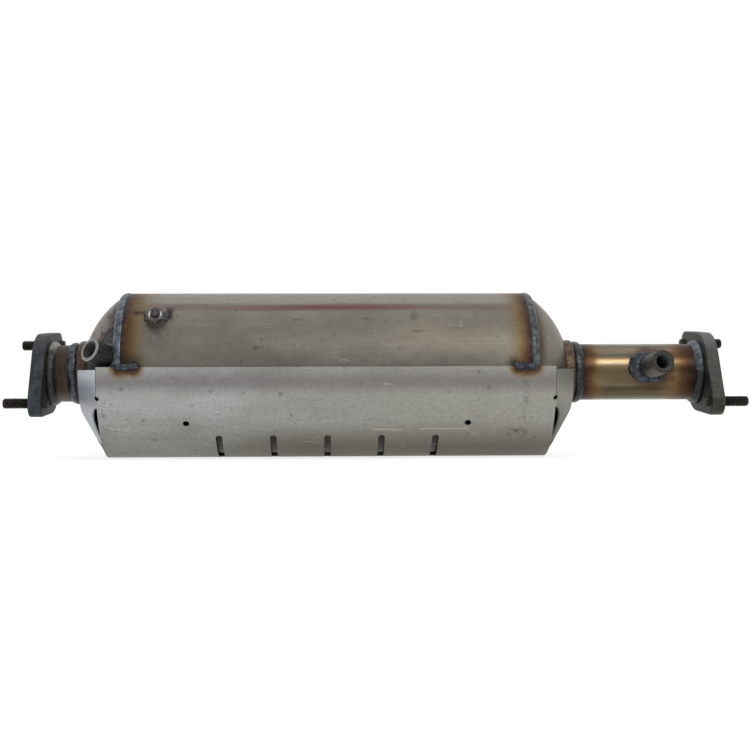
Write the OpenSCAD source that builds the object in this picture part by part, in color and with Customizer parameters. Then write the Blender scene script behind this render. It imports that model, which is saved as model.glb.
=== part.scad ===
// Diesel particulate filter: a round can between two domed ends, with flanged pipe stubs,
// two pressure bosses, a bracket nut and a stamped heat shield around its lower half.
// X runs with the gas flow from the centre of the inlet flange face, Y to the rear, Z up.

/* [Can] */
// Outer diameter of the can
can_d = 152.8; // [140:0.2:170]
// Length of the can between its girth welds
can_len = 382.3; // [370:0.1:430]
// Sheet thickness of the can
can_wall = 1.5; // [1.2:0.1:2]
// Angle of the can's seam from the front, over the top
seam_clock = 128; // [100:1:160]

/* [End domes] */
// Outer crown radius of a dome
dome_r = 88; // [86:0.5:98]
// Sheet thickness of a dome
dome_wall = 2; // [1.5:0.1:2.4]
// Length of the dome's skirt inside the can
dome_skirt = 9; // [6:0.5:15]
// Outer diameter of the neck collar on a dome
neck_d = 62; // [61:0.5:66]
// Straight length of the neck collar
neck_len = 5.5; // [4:0.5:12]

/* [Pipe stubs] */
// Outer diameter of the pipes
pipe_d = 54; // [48:0.5:55]
// Wall of the pipes
pipe_wall = 2; // [1.5:0.1:3]
// Distance from the inlet flange face to the lip of the inlet neck
inlet_reach = 39.2; // [36:0.1:70]
// Distance from the lip of the outlet neck to the outlet flange face
outlet_reach = 134.8; // [120:0.1:180]
// Length of pipe pushed into a neck collar
pipe_insertion = 10; // [8:0.5:12]
// Setback of the pipe end from the flange face
pipe_setback = 2; // [1:0.5:4]

/* [Flanges] */
// Thickness of a flange
flange_t = 12.5; // [10:0.5:16]
// Diameter of the flange's middle
hub_d = 76.4; // [72:0.2:84]
// Diameter of the flange's ears
lobe_d = 25.4; // [22:0.2:30]
// Distance between the two studs of the inlet flange
inlet_stud_pitch = 98.8; // [96:0.2:116]
// Distance between the two studs of the outlet flange
outlet_stud_pitch = 104; // [96:0.2:116]
// Slope of the line through the inlet studs, rising to the rear
inlet_slope = 34; // [0:0.2:60]
// Slope of the line through the outlet studs, rising to the rear
outlet_slope = 32.6; // [0:0.2:60]
// Diameter of the studs
stud_d = 10; // [8:0.5:12]
// Diameter of the splined shank that is pressed into the flange
shank_d = 11.2; // [9:0.1:14]
// Reach of a stud in front of the flange face
stud_reach = 24.4; // [18:0.2:40]
// Stub of a stud behind the flange
stud_tail = 4.5; // [2:0.5:6]
// Chamfer on the stud's ends
stud_chamfer = 1; // [0.5:0.1:1.5]

/* [Pressure bosses] */
// Outer diameter of a pressure boss
boss_d = 22.4; // [19:0.2:24]
// Thread bore of a pressure boss
boss_bore_d = 12.4; // [10:0.1:14]
// Length of the inlet boss from the dome to its mouth
inlet_boss_len = 20; // [16:0.5:28]
// Angle of the inlet boss from the dome's edge, at the crown centre
inlet_boss_polar = 8.6; // [6:0.2:13]
// Height angle of the inlet boss foot above the front
inlet_boss_clock = 12.2; // [12:0.2:30]
// Angle by which the inlet boss swings to the front from square on the dome
inlet_boss_swing = -0.7; // [-5:0.1:4]
// Rise of the inlet boss axis
inlet_boss_rise = 21.2; // [16:0.2:26]
// Distance of the outlet boss from the outlet flange face
outlet_boss_back = 68.1; // [50:0.1:80]
// Reach of the outlet boss from the pipe's axis to its mouth
outlet_boss_reach = 57; // [45:0.5:70]
// Rise of the outlet boss
outlet_boss_rise = 10; // [0:0.5:30]
// Lean of the outlet boss toward the outlet flange
outlet_boss_lean = 10; // [0:0.5:15]

/* [Bracket nut] */
// Width of the nut across its flats
nut_across = 16.5; // [14:0.1:19]
// Height of the nut above the can
nut_height = 9; // [6:0.1:12]
// Thread bore of the nut
nut_bore_d = 8.6; // [6.6:0.1:10.4]
// Distance of the nut from the inlet girth weld
nut_offset = 34.3; // [28:0.1:80]
// Height angle of the nut above the front
nut_clock = 39.2; // [34:0.2:60]

/* [Heat shield] */
// Air gap between the can and the shield
shield_gap = 3; // [2.6:0.1:6]
// Sheet thickness of the shield
shield_t = 1.2; // [0.8:0.1:1.6]
// Reach of an end plate past the dome, at the edge of its cut-out
shield_overhang = 9.2; // [6:0.1:14]
// Height of the shield's long edges above the axis
shield_rise = 5.5; // [4.5:0.1:6.5]
// Axial depth of a folded end plate
plate_depth = 23.4; // [20:0.2:26]
// Radius of the half-round cut-out in an end plate
plate_hole_r = 41; // [38:0.5:44]
// Height of an end plate's edges above the axis
plate_rise = 3; // [0:0.1:4]
// Number of vent slots under the shield
slot_count = 5; // [3:1:6]
// Spacing of the vent slots along the shield
slot_pitch = 50; // [40:0.5:60]
// Width of a vent slot
slot_w = 6; // [4:0.2:10]
// Angle below the front at which the round end of a slot is centred
slot_start = 47.9; // [42:0.1:60]
// Diameter of the round holes near the shield's corners
shield_hole_d = 6; // [4:0.2:8]
// Spacing of the round holes along the shield
shield_hole_pitch = 258; // [254:1:276]
// Angle of the round holes below the front
shield_hole_clock = 35; // [30:0.5:39]
// Width of the slit along the fold of an end plate
slit_w = 2.4; // [1:0.1:3.4]
// Angle below the front at which the slit ends
slit_end = 17; // [12:0.5:18]
// Diameter of the relief hole at the slit's end
relief_d = 4.4; // [3:0.2:5]
// Depth of a crescent opening along the fold
crescent_depth = 8; // [4:0.1:10]
// Half of the angle that a crescent opening spans
crescent_half = 13.2; // [10:0.2:14]

/* [Filter] */
// Length of the filter monolith
monolith_len = 305; // [260:1:330]
// Thickness of the support mat
mat_t = 3; // [2:0.1:5]
// Width of the mesh seal at each end of the mat
seal_w = 9; // [5:0.5:15]
// Side of one filter segment
segment_w = 36; // [30:0.5:44]
// Width and depth of the cement joints in the filter's faces
joint_w = 1; // [0.6:0.1:2]

/* [Welds] */
// Rise of a girth bead above the can
girth_bead_rise = 1.8; // [1:0.1:2.2]
// Radius of a girth bead's section
girth_bead_r = 3.4; // [2.8:0.1:4]
// Rise of a neck bead above the pipe
neck_bead_rise = 3.2; // [2:0.1:4]
// Radius of a neck bead's section
neck_bead_r = 5.2; // [4.5:0.1:6]
// Reach of a neck bead back over the rolled lip
neck_bead_bite = 1.2; // [0.6:0.1:1.6]
// Radius of a flange bead's section
flange_bead_r = 5.2; // [4:0.1:6]
// Length of a flange bead's section that the flange cuts off
flange_bead_bite = 1; // [0.5:0.1:1.5]
// Width of the fillet around a boss
boss_fillet = 3; // [2:0.1:3.4]
// Length of a tack between the shield and the can
tack_len = 23; // [15:0.5:35]
// Radius of a tack's section
tack_r = 3.6; // [2.8:0.1:4]
// Start of a tack outside the girth line
tack_start = 1.5; // [0.5:0.1:2.5]
// Radius of a blob that holds the nut
nut_blob_r = 4.2; // [3:0.1:5]
// Rise of the long seam above the can
seam_rise = 1.1; // [0.6:0.1:1.4]
// Radius of the long seam's section
seam_r = 2.6; // [2:0.1:3.5]

/* [Fits] */
// Clearance between pieces that fit in or on each other
fit_gap = 0.1; // [0.05:0.05:0.2]
// Space left beside a girth bead by what ends next to it
bead_margin = 1; // [0.5:0.1:3]

/* [Hidden] */
$fn = 128;
// Overlap of cutting tools past the faces that they open
over = 1;
// Facing of the two ends along X
inlet_end = -1;
outlet_end = 1;
can_r = can_d / 2;
can_bore_r = can_r - can_wall;
// A dome's skirt slides into the can, and its crown starts at the can's edge
skirt_r = can_bore_r - fit_gap;
crown_inset = sqrt(dome_r ^ 2 - skirt_r ^ 2);
crown_core_r = dome_r - dome_wall;
skirt_core_r = sqrt(crown_core_r ^ 2 - crown_inset ^ 2);
neck_r = neck_d / 2;
neck_core_r = neck_r - dome_wall;
pipe_r = pipe_d / 2;
pipe_seat_r = pipe_r + fit_gap;
lip_r = neck_r - pipe_seat_r;
neck_start = sqrt(crown_core_r ^ 2 - neck_core_r ^ 2) - crown_inset;
lip_start = sqrt(dome_r ^ 2 - neck_r ^ 2) - crown_inset + neck_len;
lip_end = lip_start + lip_r;
inlet_girth_x = inlet_reach + lip_end;
outlet_girth_x = inlet_girth_x + can_len;
can_mid_x = inlet_girth_x + can_len / 2;
overall_len = outlet_girth_x + lip_end + outlet_reach;
stud_r = stud_d / 2;
shank_r = shank_d / 2;
boss_r = boss_d / 2;
boss_bore_r = boss_bore_d / 2;
inlet_boss_tilt = asin(skirt_r / dome_r) - inlet_boss_polar;
outlet_boss_x = overall_len - outlet_boss_back;
nut_x = inlet_girth_x + nut_offset;
nut_corner_r = nut_across / sqrt(3);
shield_core_r = can_r + shield_gap;
shield_r = shield_core_r + shield_t;
// The end plates stand off the domes, so the shield ends where their folds come to lie
plate_edge = sqrt(dome_r ^ 2 - plate_hole_r ^ 2) - crown_inset + shield_overhang;
shield_reach = plate_edge - plate_depth;
shield_len = can_len + 2 * shield_reach;
// The lips that land on the can and the seam's bead end clear of the girth beads
lip_margin = girth_bead_r + bead_margin;
plate_len = norm([plate_depth, shield_r - plate_hole_r]);
// Crescent openings lie in two pairs, the same to the front and to the rear
crescent_clocks = [37, 69, 111, 143];
crescent_chord = shield_r * sin(crescent_half);
crescent_sag = crescent_depth - shield_r * (1 - cos(crescent_half));
crescent_r = (crescent_chord ^ 2 + crescent_sag ^ 2) / (2 * crescent_sag);
mat_r = can_bore_r - fit_gap;
monolith_r = can_bore_r - mat_t;
mat_len = monolith_len - 2 * seal_w;
// Keeps the straight sides of the flange outline from only grazing its circles
graze = 0.02;

// Turns a section (radius, distance) about the X axis, with its distance running outward from x
module revolved(x, facing) {
    translate([x, 0, 0])
        rotate([0, 90 * facing, 0])
            rotate_extrude()
                children();
}

// Places a shape at a girth line, with its height running outward from the can
module at_girth(facing) {
    translate([facing == inlet_end ? inlet_girth_x : outlet_girth_x, 0, 0])
        rotate([0, 90 * facing, 0])
            children();
}

// Rod along X, from x for a length
module rod(x, length, r) {
    translate([x, 0, 0])
        rotate([0, 90, 0])
            cylinder(h = length, r = r);
}

// Stands a shape on a flange face, with its height along X and its width along the line of the studs
module on_flange(x, slope) {
    translate([x, 0, 0])
        rotate([90, 0, 90])
            rotate(slope)
                children();
}

// Turns a shape around the X axis from the front (-Y) upward by an angle
module clocked(angle) {
    rotate([-angle, 0, 0])
        children();
}

// Shape on the front of a cylinder about X, with its height pointing outward from the axis
module radial(x, angle) {
    translate([x, 0, 0])
        clocked(angle)
            rotate([90, 0, 0])
                children();
}

// Part of a ring around X from x on, between two angles below the front
module ring_sector(x, width, r_from, r_to, angle_from, angle_to) {
    translate([x, 0, 0])
        rotate([-90, 0, 0])
            rotate([0, 90, 0])
                rotate(angle_from)
                    rotate_extrude(angle = angle_to - angle_from)
                        translate([r_from, 0])
                            square([r_to - r_from, width]);
}

// Places a shape at x with its own X axis pointing out of that end of the part
module outward_from(x, facing) {
    translate([x, 0, 0])
        mirror([facing == inlet_end ? 1 : 0, 0, 0])
            children();
}

// Mirrors a shape to the rear, beside the one in front
module front_and_rear() {
    children();
    mirror([0, 1, 0])
        children();
}

// Everything below a height, as a slab around the whole part
module below(z) {
    translate([-over, -shield_r - over, -shield_r - over])
        cube([overall_len, 2 * (shield_r + over), shield_r + over + z]);
}

// Section of one dome with its skirt, crown, neck collar and rolled lip
module dome_section() {
    translate([skirt_core_r, -dome_skirt])
        square([skirt_r - skirt_core_r, dome_skirt]);
    intersection() {
        translate([0, -crown_inset])
            difference() {
                circle(r = dome_r);
                circle(r = crown_core_r);
            }
        translate([neck_core_r, 0])
            square([dome_r, dome_r]);
    }
    translate([neck_core_r, neck_start])
        square([dome_wall, lip_start - neck_start]);
    translate([pipe_seat_r, lip_start])
        intersection() {
            difference() {
                circle(r = lip_r);
                circle(r = lip_r - dome_wall);
            }
            square(lip_r);
        }
}

// Section of the bead in the step between the can's edge and the dome
module girth_bead_section() {
    difference() {
        translate([can_r + girth_bead_rise - girth_bead_r, 0])
            circle(r = girth_bead_r);
        translate([0, -can_r])
            square([can_r + fit_gap, can_r + fit_gap]);
        translate([0, -crown_inset])
            circle(r = dome_r + fit_gap);
    }
}

// Section of the bead between a neck's lip and the pipe
module neck_bead_section() {
    difference() {
        translate([pipe_r + neck_bead_rise - neck_bead_r, lip_end + neck_bead_r - neck_bead_bite])
            circle(r = neck_bead_r);
        translate([0, lip_start])
            square([pipe_seat_r, 4 * neck_bead_r + lip_r]);
        translate([pipe_seat_r, lip_start])
            circle(r = lip_r + fit_gap);
    }
}

// Section of the bead between a pipe and the back of its flange
module flange_bead_section() {
    difference() {
        translate([pipe_seat_r, flange_bead_r - flange_bead_bite])
            circle(r = flange_bead_r);
        translate([0, -flange_bead_r])
            square([pipe_seat_r, 4 * flange_bead_r]);
        translate([0, fit_gap - 2 * flange_bead_r])
            square([pipe_r + 2 * flange_bead_r, 2 * flange_bead_r]);
    }
}

// Section of a pipe that runs from inside its neck to a reach from the lip
module pipe_section(reach) {
    translate([pipe_r - pipe_wall, lip_end - pipe_insertion])
        square([pipe_wall, pipe_insertion + reach - pipe_setback]);
}

// Flange blank: a round middle drawn out to two ears by straight tangents
module flange_blank(stud_pitch) {
    hub_r = hub_d / 2;
    lobe_r = lobe_d / 2;
    arm = stud_pitch / 2;
    tangent = acos((hub_r - lobe_r) / arm);
    hub_x = (hub_r - graze) * cos(tangent);
    hub_y = (hub_r - graze) * sin(tangent);
    lobe_x = arm + (lobe_r - graze) * cos(tangent);
    lobe_y = (lobe_r - graze) * sin(tangent);
    cylinder(h = flange_t, r = hub_r);
    for (side = [-1, 1])
        translate([side * arm, 0, 0])
            cylinder(h = flange_t, r = lobe_r);
    linear_extrude(flange_t)
        polygon([
            [hub_x, hub_y], [lobe_x, lobe_y], [lobe_x, -lobe_y], [hub_x, -hub_y],
            [-hub_x, -hub_y], [-lobe_x, -lobe_y], [-lobe_x, lobe_y], [-hub_x, hub_y]
        ]);
}

// Flange plate with its bore and two stud holes, from x along X
module flange_plate(x, stud_pitch, slope) {
    bore_depth = flange_t + 2 * over;
    on_flange(x, slope)
        difference() {
            flange_blank(stud_pitch);
            translate([0, 0, -over])
                cylinder(h = bore_depth, r = pipe_seat_r);
            for (side = [-1, 1])
                translate([side * stud_pitch / 2, 0, -over])
                    cylinder(h = bore_depth, r = shank_r + fit_gap);
        }
}

// Two studs with chamfered ends and a splined shank, from x along X, with the shank after a first length
module stud_pair(x, first, stud_pitch, slope) {
    length = stud_reach + flange_t + stud_tail;
    on_flange(x, slope)
        for (side = [-1, 1])
            translate([side * stud_pitch / 2, 0, 0])
                rotate_extrude()
                    polygon([
                        [0, 0],
                        [stud_r - stud_chamfer, 0],
                        [stud_r, stud_chamfer],
                        [stud_r, first],
                        [shank_r, first],
                        [shank_r, first + flange_t],
                        [stud_r, first + flange_t],
                        [stud_r, length - stud_chamfer],
                        [stud_r - stud_chamfer, length],
                        [0, length]
                    ]);
}

// Frame of the inlet boss: foot on the dome, height along the boss axis
module at_inlet_boss() {
    foot = dome_r * [
        -cos(inlet_boss_tilt),
        -sin(inlet_boss_tilt) * cos(inlet_boss_clock),
        sin(inlet_boss_tilt) * sin(inlet_boss_clock)
    ];
    translate([inlet_girth_x + crown_inset, 0, 0] + foot)
        rotate([0, 90 - inlet_boss_rise, 180 + inlet_boss_tilt + inlet_boss_swing])
            children();
}

// Frame of the outlet boss: origin on the pipe's axis, height along the boss axis
module at_outlet_boss() {
    translate([outlet_boss_x, 0, 0])
        clocked(outlet_boss_rise)
            rotate([90, 0, outlet_boss_lean])
                children();
}

// Space that the crown, the can and the girth bead take behind the inlet boss, with the clearance
module behind_inlet_boss() {
    translate([inlet_girth_x + crown_inset, 0, 0])
        sphere(r = dome_r + fit_gap, $fn = 360);
    rod(inlet_girth_x - fit_gap, can_len, can_r + fit_gap);
    girth_bead_torus(inlet_end);
}

// Whole round section of a girth bead, grown by the clearance
module girth_bead_torus(facing) {
    at_girth(facing)
        rotate_extrude()
            translate([can_r + girth_bead_rise - girth_bead_r, 0])
                circle(r = girth_bead_r + fit_gap);
}

// Cone of the fillet around the foot of a boss, grown by a clearance
module boss_cone(gap) {
    translate([0, 0, -2 * boss_fillet])
        cylinder(h = 3 * boss_fillet, r1 = boss_r + 3 * boss_fillet + gap, r2 = boss_r + gap);
}

// Fillet around the foot of a boss, as a cone with the boss's hole
module boss_fillet_cone() {
    difference() {
        boss_cone(0);
        translate([0, 0, -2 * boss_fillet - over])
            cylinder(h = 3 * boss_fillet + 2 * over, r = boss_r + fit_gap);
    }
}

module can_shell() {
    color("tan")
        difference() {
            rod(inlet_girth_x, can_len, can_r);
            rod(inlet_girth_x - over, can_len + 2 * over, can_bore_r);
        }
}

module can_seam_weld() {
    color("slategray")
        difference() {
            clocked(seam_clock)
                translate([0, -(can_r + seam_rise - seam_r), 0])
                    rod(inlet_girth_x + lip_margin, can_len - 2 * lip_margin, seam_r);
            rod(inlet_girth_x, can_len, can_r + fit_gap, $fn = 720);
        }
}

module inlet_dome() {
    color("rosybrown")
        difference() {
            revolved(inlet_girth_x, inlet_end)
                dome_section();
            at_inlet_boss()
                cylinder(h = boss_d, r = boss_bore_r, center = true);
        }
}

module outlet_dome() {
    color("gray")
        revolved(outlet_girth_x, outlet_end)
            dome_section();
}

module inlet_girth_weld() {
    color("slategray")
        revolved(inlet_girth_x, inlet_end)
            girth_bead_section();
}

module outlet_girth_weld() {
    color("slategray")
        revolved(outlet_girth_x, outlet_end)
            girth_bead_section();
}

module inlet_pipe() {
    color("saddlebrown")
        revolved(inlet_girth_x, inlet_end)
            pipe_section(inlet_reach);
}

module outlet_pipe() {
    color("darkgoldenrod")
        difference() {
            revolved(outlet_girth_x, outlet_end)
                pipe_section(outlet_reach);
            at_outlet_boss()
                cylinder(h = outlet_boss_reach, r = boss_bore_r);
        }
}

module inlet_neck_weld() {
    color("darkslategray")
        revolved(inlet_girth_x, inlet_end)
            neck_bead_section();
}

module outlet_neck_weld() {
    color("slategray")
        revolved(outlet_girth_x, outlet_end)
            neck_bead_section();
}

module inlet_flange() {
    color("darkslategray")
        flange_plate(0, inlet_stud_pitch, inlet_slope);
}

module outlet_flange() {
    color("dimgray")
        flange_plate(overall_len - flange_t, outlet_stud_pitch, outlet_slope);
}

module inlet_flange_weld() {
    color("darkslategray")
        revolved(flange_t, outlet_end)
            flange_bead_section();
}

module outlet_flange_weld() {
    color("slategray")
        revolved(overall_len - flange_t, inlet_end)
            flange_bead_section();
}

module inlet_studs() {
    color("black")
        stud_pair(-stud_reach, stud_reach, inlet_stud_pitch, inlet_slope);
}

module outlet_studs() {
    color("black")
        stud_pair(overall_len - flange_t - stud_tail, stud_tail, outlet_stud_pitch, outlet_slope);
}

module inlet_pressure_boss() {
    color("dimgray")
        difference() {
            at_inlet_boss()
                translate([0, 0, -boss_r])
                    difference() {
                        cylinder(h = inlet_boss_len + boss_r, r = boss_r);
                        translate([0, 0, -over])
                            cylinder(h = inlet_boss_len + boss_r + 2 * over, r = boss_bore_r);
                    }
            behind_inlet_boss();
        }
}

module inlet_boss_weld() {
    color("slategray")
        difference() {
            at_inlet_boss()
                boss_fillet_cone();
            behind_inlet_boss();
        }
}

module outlet_pressure_boss() {
    color("dimgray")
        difference() {
            at_outlet_boss()
                difference() {
                    cylinder(h = outlet_boss_reach, r = boss_r);
                    translate([0, 0, -over])
                        cylinder(h = outlet_boss_reach + 2 * over, r = boss_bore_r);
                }
            rod(outlet_boss_x - pipe_d, 2 * pipe_d, pipe_seat_r);
        }
}

module outlet_boss_weld() {
    color("darkslategray")
        difference() {
            at_outlet_boss()
                translate([0, 0, pipe_r])
                    boss_fillet_cone();
            rod(outlet_boss_x - pipe_d, 2 * pipe_d, pipe_seat_r);
        }
}

// Six-sided prism of the nut with its flats to the sides, grown by a clearance
module nut_hex(height, gap) {
    rotate(30)
        cylinder(h = height, r = nut_corner_r + gap, $fn = 6);
}

module bracket_nut() {
    chamfer = nut_corner_r - nut_across / 2;
    color("gray")
        difference() {
            radial(nut_x, nut_clock)
                difference() {
                    intersection() {
                        nut_hex(can_r + nut_height, 0);
                        union() {
                            cylinder(h = can_r + nut_height - chamfer, r = nut_corner_r + over);
                            translate([0, 0, can_r + nut_height - chamfer])
                                cylinder(h = chamfer, r1 = nut_corner_r + graze, r2 = nut_across / 2);
                        }
                    }
                    cylinder(h = can_r + nut_height + over, r = nut_bore_d / 2);
                }
            rod(inlet_girth_x, can_len, can_r + fit_gap);
        }
}

module bracket_nut_welds() {
    color("darkslategray")
        difference() {
            for (side = [-1, 1])
                radial(nut_x + side * nut_across / 2, nut_clock)
                    translate([0, 0, can_r])
                        sphere(r = nut_blob_r);
            rod(inlet_girth_x, can_len, can_r + fit_gap);
            radial(nut_x, nut_clock)
                nut_hex(can_r + 2 * nut_height, fit_gap);
        }
}

// Half-round body of the shield with its vent slots, round holes and lips
module shield_body() {
    lip_len = can_len - 2 * lip_margin;
    difference() {
        rod(inlet_girth_x - shield_reach, shield_len, shield_r);
        rod(inlet_girth_x - shield_reach - over, shield_len + 2 * over, shield_core_r);
        translate([-over, -shield_r - over, shield_rise])
            cube([overall_len, 2 * (shield_r + over), shield_r]);
        for (k = [0 : slot_count - 1])
            translate([can_mid_x + (k - (slot_count - 1) / 2) * slot_pitch, 0, 0]) {
                ring_sector(-slot_w / 2, slot_w, can_r, shield_r + over, slot_start, 180 - slot_start);
                for (angle = [slot_start, 180 - slot_start])
                    radial(0, -angle)
                        cylinder(h = shield_r + over, r = slot_w / 2 + graze);
            }
        for (side = [-1, 1], angle = [shield_hole_clock, 180 - shield_hole_clock])
            radial(can_mid_x + side * shield_hole_pitch / 2, -angle)
                cylinder(h = shield_r + over, r = shield_hole_d / 2);
    }
    difference() {
        front_and_rear()
            translate([inlet_girth_x + lip_margin, -shield_core_r - graze, shield_rise - shield_t])
                cube([lip_len, shield_gap + over, shield_t]);
        rod(inlet_girth_x, can_len, can_r + fit_gap);
    }
}

// Openings along the fold of an end plate: slits at the top and crescents around the bottom
module fold_openings() {
    front_and_rear() {
        ring_sector(0, plate_depth, shield_r - slit_w, shield_r + over, -slit_end, slit_end);
        radial(0, -slit_end)
            translate([0, 0, can_r])
                cylinder(h = shield_r, r = relief_d / 2);
    }
    for (angle = crescent_clocks)
        clocked(-angle)
            translate([0, crescent_depth - shield_r - crescent_r, 0])
                rod(0, plate_depth, crescent_r);
}

// Sloping end plate of the shield, folded in toward the neck
module end_plate(facing) {
    edge = [shield_r, 0];
    hole = [plate_hole_r, plate_depth];
    inward = -shield_t / plate_len * [plate_depth, shield_r - plate_hole_r];
    outward_from(can_mid_x + facing * shield_len / 2, facing)
        difference() {
            intersection() {
                revolved(0, outlet_end)
                    polygon([edge, hole, hole + inward, edge + inward]);
                below(plate_rise);
            }
            fold_openings();
        }
}

module heat_shield() {
    color("silver") {
        shield_body();
        end_plate(inlet_end);
        end_plate(outlet_end);
    }
}

// Rod with rounded ends along X, from x for a length
module rounded_rod(x, length, r) {
    start = [for (a = [0 : 15 : 90]) r * [sin(a), 1 - cos(a)]];
    finish = [for (a = [90 : -15 : 0]) [r * sin(a), length - r * (1 - cos(a))]];
    translate([x, 0, 0])
        rotate([0, 90, 0])
            rotate_extrude()
                polygon(concat(start, finish));
}

module shield_tack_welds() {
    color("slategray")
        difference() {
            front_and_rear()
                for (x = [inlet_girth_x - tack_start, outlet_girth_x - tack_len + tack_start])
                    translate([0, -shield_core_r, shield_rise])
                        rounded_rod(x, tack_len, tack_r);
            rod(inlet_girth_x, can_len, can_r + fit_gap);
            girth_bead_torus(inlet_end);
            girth_bead_torus(outlet_end);
            at_inlet_boss()
                boss_cone(fit_gap);
            intersection() {
                rod(0, overall_len, shield_r + fit_gap);
                below(shield_rise + fit_gap);
            }
        }
}

module filter_monolith() {
    face_x = can_mid_x - monolith_len / 2;
    joints = floor(monolith_r / segment_w);
    color("darkkhaki")
        difference() {
            rod(face_x, monolith_len, monolith_r);
            for (x = [face_x - over, face_x + monolith_len - joint_w], k = [-joints : joints])
                for (turn = [0, 90])
                    translate([x, 0, 0])
                        rotate([turn, 0, 0])
                            translate([0, k * segment_w - joint_w / 2, -monolith_r])
                                cube([joint_w + over, joint_w, 2 * monolith_r]);
        }
}

// Ring of the packing between the filter and the can
module packing_ring(x, length) {
    difference() {
        rod(x, length, mat_r);
        rod(x - over, length + 2 * over, monolith_r + fit_gap);
    }
}

module support_mat() {
    color("ivory")
        packing_ring(can_mid_x - mat_len / 2, mat_len);
}

module inlet_mat_seal() {
    color("gray")
        packing_ring(can_mid_x - mat_len / 2 - seal_w, seal_w);
}

module outlet_mat_seal() {
    color("gray")
        packing_ring(can_mid_x + mat_len / 2, seal_w);
}

can_shell();
can_seam_weld();
inlet_dome();
outlet_dome();
inlet_girth_weld();
outlet_girth_weld();
inlet_pipe();
outlet_pipe();
inlet_neck_weld();
outlet_neck_weld();
inlet_flange();
outlet_flange();
inlet_flange_weld();
outlet_flange_weld();
inlet_studs();
outlet_studs();
inlet_pressure_boss();
inlet_boss_weld();
outlet_pressure_boss();
outlet_boss_weld();
bracket_nut();
bracket_nut_welds();
heat_shield();
shield_tack_welds();
filter_monolith();
support_mat();
inlet_mat_seal();
outlet_mat_seal();
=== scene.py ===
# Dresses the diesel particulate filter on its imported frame: rippled weld beads, threaded studs,
# bosses and nut, eased flanges, a heat shield with its full openings, and heat-tinted metal.
import math
import random

import bpy
from mathutils import Matrix, Vector


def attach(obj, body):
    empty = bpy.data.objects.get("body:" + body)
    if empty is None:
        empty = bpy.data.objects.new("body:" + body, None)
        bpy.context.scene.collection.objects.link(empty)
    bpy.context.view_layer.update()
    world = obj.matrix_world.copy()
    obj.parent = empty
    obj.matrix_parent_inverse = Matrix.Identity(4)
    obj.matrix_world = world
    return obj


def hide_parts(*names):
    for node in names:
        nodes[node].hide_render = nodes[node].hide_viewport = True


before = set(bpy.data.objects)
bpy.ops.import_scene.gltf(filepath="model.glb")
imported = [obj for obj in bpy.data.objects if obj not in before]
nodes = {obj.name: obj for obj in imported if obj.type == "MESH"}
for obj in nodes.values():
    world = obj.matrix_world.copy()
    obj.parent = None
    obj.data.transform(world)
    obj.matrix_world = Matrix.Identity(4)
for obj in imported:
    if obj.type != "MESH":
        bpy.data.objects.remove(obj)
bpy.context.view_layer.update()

# Sizes of the part in millimetres, in its own frame, and the facing of its two ends along X
MM = 0.001
ENDS = {"inlet": -1, "outlet": 1}
OVERALL = 647.1
CAN_R = 76.4
GIRTH = {"inlet": 84.6, "outlet": 466.9}
LIP = {"inlet": 39.2, "outlet": 512.3}
INLET_CROWN, CROWN_R = Vector((130.96, 0, 0)), 88.2
PIPE_R, PIPE_BORE = 27.0, (26.3, 25.6)
FLANGE_T, HUB_R, EAR_R, FLANGE_BORE_R = 12.5, 38.2, 12.7, 27.1
FACE = {"inlet": 0.0, "outlet": OVERALL}
BACK = {"inlet": FLANGE_T, "outlet": OVERALL - FLANGE_T}
STUD_ARM = {"inlet": 49.4, "outlet": 52.0}
STUD_SLOPE = {"inlet": math.radians(34.0), "outlet": math.radians(32.6)}
STUD_REACH, STUD_POINT, STUD_TAIL = 24.4, 1.2, 4.5
SEAM_ENDS, SEAM_R, SEAM_CLOCK = (90.5, 461), 75.6, math.radians(128)
SHIELD_R, SHIELD_EDGE, TACK_OUT = 80.6, 5.5, 78.9
FOLD = {"inlet": 67.295, "outlet": 484.205}
PLATE_DEPTH, FOLD_GAP = 23.4, 0.02
CRESCENT_CLOCKS, CRESCENT_R, CRESCENT_OUT = (36.5, 68.5, 111.5, 143.5), 21.6, 89.8
SLIT_OUT, SLIT_WIDE, SLIT_END, RELIEF_R = 79.0, 5.2, math.radians(17), 2.2
VENTS, VENT_WIDE = [175.75 + 50 * k for k in range(5)], 6.0
WEB_OUT, WEB_THICK, WEB_TURN = 79.95, 1.1, math.radians(26)
INLET_BOSS = (Vector((73.94, -65.51, 14.16)), Vector((-0.6127, -0.7027, 0.3616)))
OUTLET_BOSS = (Vector((579.0, 0.0, 0.0)), Vector((0.1736, -0.9698, 0.1710)))
INLET_BOSS_SPAN, OUTLET_BOSS_SPAN = (-2.6, 20.0), (26.0, 57.0)
BOSS_R, BOSS_BORE, MOUTH_RING = 11.2, (8.4, 8.1), 0.9
NUT_X, NUT_CLOCK = 118.9, math.radians(39.2)
NUT_WIDE, NUT_TALL, NUT_SUNK = 16.5, 10.2, 1.2
FLOOR = -SHIELD_R - 0.05

chance = random.Random(41)


def paint(red, green, blue):
    """A colour as it looks, from 0 to 255, as the linear values that a shader takes."""
    shares = (red / 255, green / 255, blue / 255)
    return tuple(((s + 0.055) / 1.055) ** 2.4 if s > 0.04 else s / 12.92 for s in shares) + (1.0,)


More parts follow.
